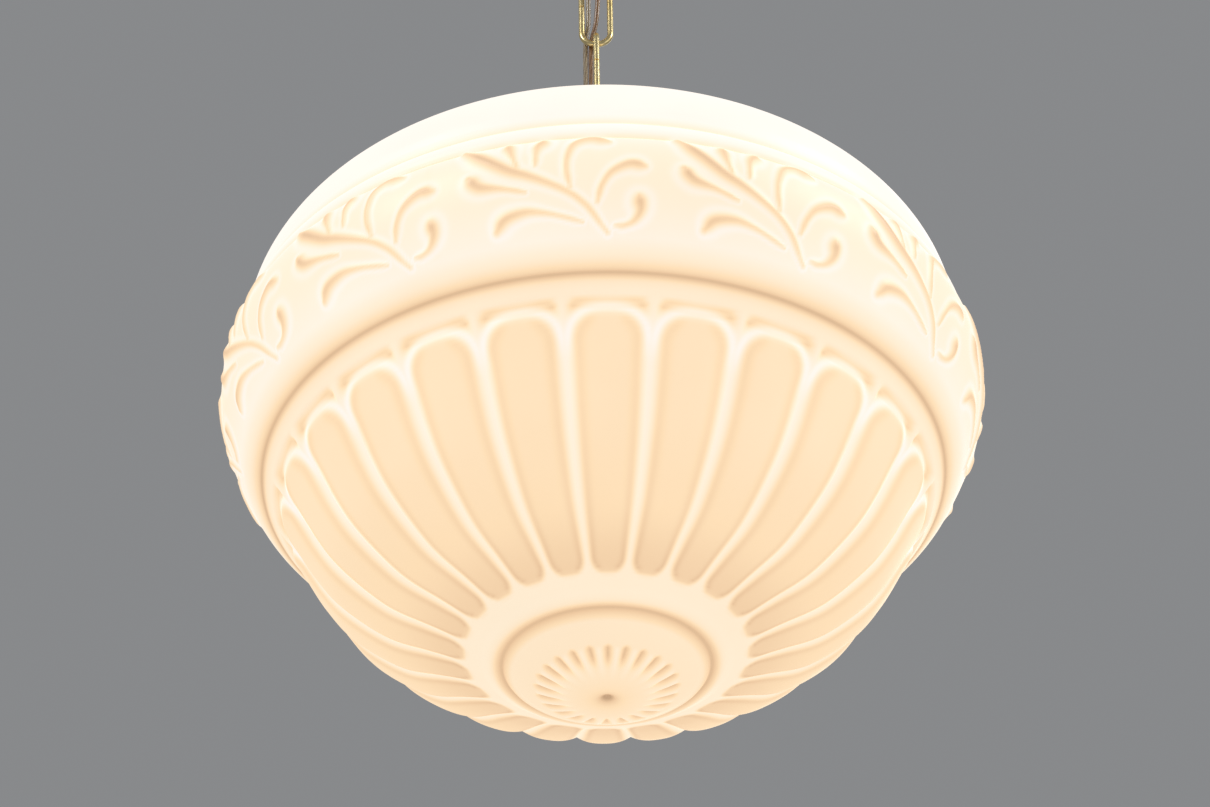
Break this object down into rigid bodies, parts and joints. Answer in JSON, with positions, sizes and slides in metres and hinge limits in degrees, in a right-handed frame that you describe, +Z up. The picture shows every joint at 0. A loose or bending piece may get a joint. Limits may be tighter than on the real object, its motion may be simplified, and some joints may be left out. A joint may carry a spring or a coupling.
{
  "type": "pendant ceiling light",
  "caption": "Chain-hung pendant with a pressed opal glass bowl, leaf frieze, gadrooned foot, brass fitter, screw lampholder and ceiling canopy.",
  "frame": {"origin": "centre of the ceiling plane, in the middle of the two bar slots", "axes": "+Z up towards the ceiling, X along the mounting bar, the light hangs in -Z"},
  "size_m": [0.4026, 0.4026, 0.6278],
  "materials": {
    "zinc_steel": "zinc plated, satin",
    "brass": "plain machined",
    "polished_brass": "polished and lacquered",
    "white_plastic": "moulded",
    "nylon": "moulded nylon",
    "bakelite": "moulded, black",
    "porcelain": "glazed white",
    "cord_gold": "translucent gold plastic over copper strands",
    "felt": "pressed wool felt",
    "opal_glass": "blown opal glass, fire polished",
    "lamp_opal": "inside frosted",
    "clear_glass": "clear",
    "black_glass": "vitrified insulator",
    "solder": "dull solder",
    "tungsten": "drawn wire"
  },
  "bodies": {
    "root": {"mounting_bar": "zinc_steel", "bar_stud": "zinc_steel", "bar_nuts": "zinc_steel", "hickey": "zinc_steel", "earth_screw": "brass", "terminal_block": "white_plastic", "block_screw": "zinc_steel", "loop_nipple": "zinc_steel", "nipple_bush": "white_plastic", "ceiling_loop": "polished_brass", "cord_in_canopy": "cord_gold"},
    "canopy": {"canopy": "polished_brass"},
    "collar": {"collar_ring": "polished_brass"},
    "link_1": {"chain_link_1": "polished_brass", "cord_segment_1": "cord_gold"},
    "link_2": {"chain_link_2": "polished_brass", "cord_segment_2": "cord_gold"},
    "link_3": {"chain_link_3": "polished_brass", "cord_segment_3": "cord_gold"},
    "fitter": {"fitter_loop": "polished_brass", "column": "polished_brass", "fitter_cap": "polished_brass", "cap_washer": "zinc_steel", "cap_nut": "zinc_steel", "fitter_tube": "zinc_steel", "lip_gasket": "felt", "lampholder_cap": "bakelite", "lampholder_skirt": "bakelite", "lampholder_insert": "porcelain", "lampholder_screws": "brass", "threaded_liner": "brass", "centre_contact": "brass", "cord_to_lampholder": "cord_gold", "cord_segment_4": "cord_gold", "glass_bowl": "opal_glass"},
    "tip_1": {"screw_tip_1": "nylon"},
    "screw_1": {"thumbscrew_1": "polished_brass"},
    "tip_2": {"screw_tip_2": "nylon"},
    "screw_2": {"thumbscrew_2": "polished_brass"},
    "tip_3": {"screw_tip_3": "nylon"},
    "screw_3": {"thumbscrew_3": "polished_brass"},
    "lamp_base": {"lamp_contact": "solder", "lamp_insulator": "black_glass"},
    "lamp": {"lamp_shell": "brass", "lamp_glass": "lamp_opal", "lamp_stem": "clear_glass", "lamp_filament": "tungsten"}
  },
  "joints": [
    {"name": "canopy_drop", "type": "slide", "parent": "root", "child": "canopy", "axis": [0, 0, -1], "range_m": [0, 0.0075]},
    {"name": "collar_turn", "type": "hinge", "parent": "canopy", "child": "collar", "pos_m": [0, 0, -0.054], "axis": [0, 0, -1], "range_deg": [0, 1830]},
    {"name": "link_1_swing", "type": "hinge", "parent": "root", "child": "link_1", "pos_m": [0, 0, -0.0795], "axis": [1, 0, 0], "range_deg": [-30, 30], "deforming": ["cord_segment_1"]},
    {"name": "link_2_swing", "type": "hinge", "parent": "link_1", "child": "link_2", "pos_m": [0, 0, -0.12995], "axis": [0, 1, 0], "range_deg": [-30, 30], "deforming": ["cord_segment_2"]},
    {"name": "link_3_swing", "type": "hinge", "parent": "link_2", "child": "link_3", "pos_m": [0, 0, -0.18065], "axis": [1, 0, 0], "range_deg": [-30, 30], "deforming": ["cord_segment_3"]},
    {"name": "fitter_swing", "type": "hinge", "parent": "link_3", "child": "fitter", "pos_m": [0, 0, -0.23135], "axis": [0, 1, 0], "range_deg": [-30, 30], "deforming": ["cord_segment_4"]},
    {"name": "tip_1_slide", "type": "slide", "parent": "fitter", "child": "tip_1", "axis": [0.866, 0.5, 0], "range_m": [0, 0.0077]},
    {"name": "screw_1_turn", "type": "hinge", "parent": "tip_1", "child": "screw_1", "pos_m": [0.07794, 0.045, -0.3389], "axis": [0.866, 0.5, 0], "range_deg": [0, 4020]},
    {"name": "tip_2_slide", "type": "slide", "parent": "fitter", "child": "tip_2", "axis": [-0.866, 0.5, 0], "range_m": [0, 0.0077]},
    {"name": "screw_2_turn", "type": "hinge", "parent": "tip_2", "child": "screw_2", "pos_m": [-0.07794, 0.045, -0.3389], "axis": [-0.866, 0.5, 0], "range_deg": [0, 4020]},
    {"name": "tip_3_slide", "type": "slide", "parent": "fitter", "child": "tip_3", "axis": [0, -1, 0], "range_m": [0, 0.0077]},
    {"name": "screw_3_turn", "type": "hinge", "parent": "tip_3", "child": "screw_3", "pos_m": [0, -0.09, -0.3389], "axis": [0, -1, 0], "range_deg": [0, 4020]},
    {"name": "lamp_unscrew", "type": "slide", "parent": "fitter", "child": "lamp_base", "axis": [0, 0, -1], "range_m": [0, 0.0217]},
    {"name": "lamp_turn", "type": "hinge", "parent": "lamp_base", "child": "lamp", "pos_m": [0, 0, -0.3454], "axis": [0, 0, -1], "range_deg": [0, 2200]}
  ],
  "couplings": [
    {"joint": "collar_turn", "follows": "canopy_drop", "rad_per_m": 4188.8},
    {"joint": "screw_1_turn", "follows": "tip_1_slide", "rad_per_m": 8976},
    {"joint": "screw_2_turn", "follows": "tip_2_slide", "rad_per_m": 8976},
    {"joint": "screw_3_turn", "follows": "tip_3_slide", "rad_per_m": 8976},
    {"joint": "lamp_turn", "follows": "lamp_unscrew", "rad_per_m": 1731.4}
  ]
}
